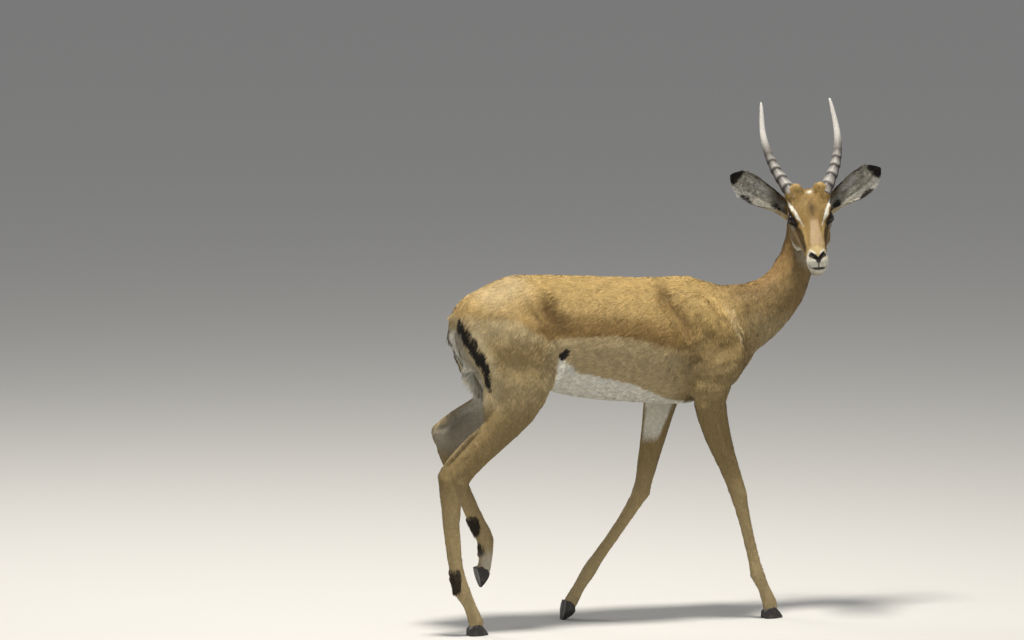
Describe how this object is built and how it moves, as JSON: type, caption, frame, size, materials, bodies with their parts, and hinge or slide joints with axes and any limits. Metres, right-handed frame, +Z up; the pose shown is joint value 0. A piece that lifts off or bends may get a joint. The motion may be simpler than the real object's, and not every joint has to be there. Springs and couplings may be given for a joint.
{
  "type": "impala antelope",
  "caption": "Life-size still model of a young male impala walking with its head turned to one side, standing on three hooves with one hind foot lifted.",
  "frame": {"origin": "middle of the bounding box's floor, on the ground below the belly", "axes": "+Z up, the animal walks towards +X, its right side is -Y"},
  "size_m": [1.2024, 0.3578, 1.3034],
  "materials": {
    "coat_saddle": "short flat fur, rufous back over paler tan sides and a white belly",
    "coat_neck": "short flat fur, dull tan with a rufous crest",
    "coat_face": "very short fur, rufous with white brow streaks, lips and chin",
    "coat_tail": "white and grey fur with a dark line",
    "coat_legs": "very short tan fur, whitish inside, with black tufts above the hind fetlocks",
    "ear": "thin skin with pale hair inside, rufous back and black tip",
    "hoof": "black horn, satin",
    "horn": "grey-brown horn with weak rings, darker base, paler tip",
    "eye": "wet dark brown"
  },
  "bodies": {
    "root": {"trunk": "coat_saddle", "neck": "coat_neck", "head": "coat_face", "tail": "coat_tail", "foreleg_right": "coat_legs", "foreleg_left": "coat_legs", "cannon_fore_right": "coat_legs", "cannon_fore_left": "coat_legs", "thigh_right": "coat_legs", "thigh_left": "coat_legs", "shank_right": "coat_legs", "shank_left": "coat_legs", "cannon_hind_right": "coat_legs", "cannon_hind_left": "coat_legs", "hoof_fore_right_outer": "hoof", "hoof_fore_right_inner": "hoof", "hoof_fore_left_outer": "hoof", "hoof_fore_left_inner": "hoof", "hoof_hind_right_outer": "hoof", "hoof_hind_right_inner": "hoof", "hoof_hind_left_outer": "hoof", "hoof_hind_left_inner": "hoof", "horn_right": "horn", "ear_right": "ear", "eye_right": "eye", "horn_left": "horn", "ear_left": "ear", "eye_left": "eye"}
  },
  "joints": []
}
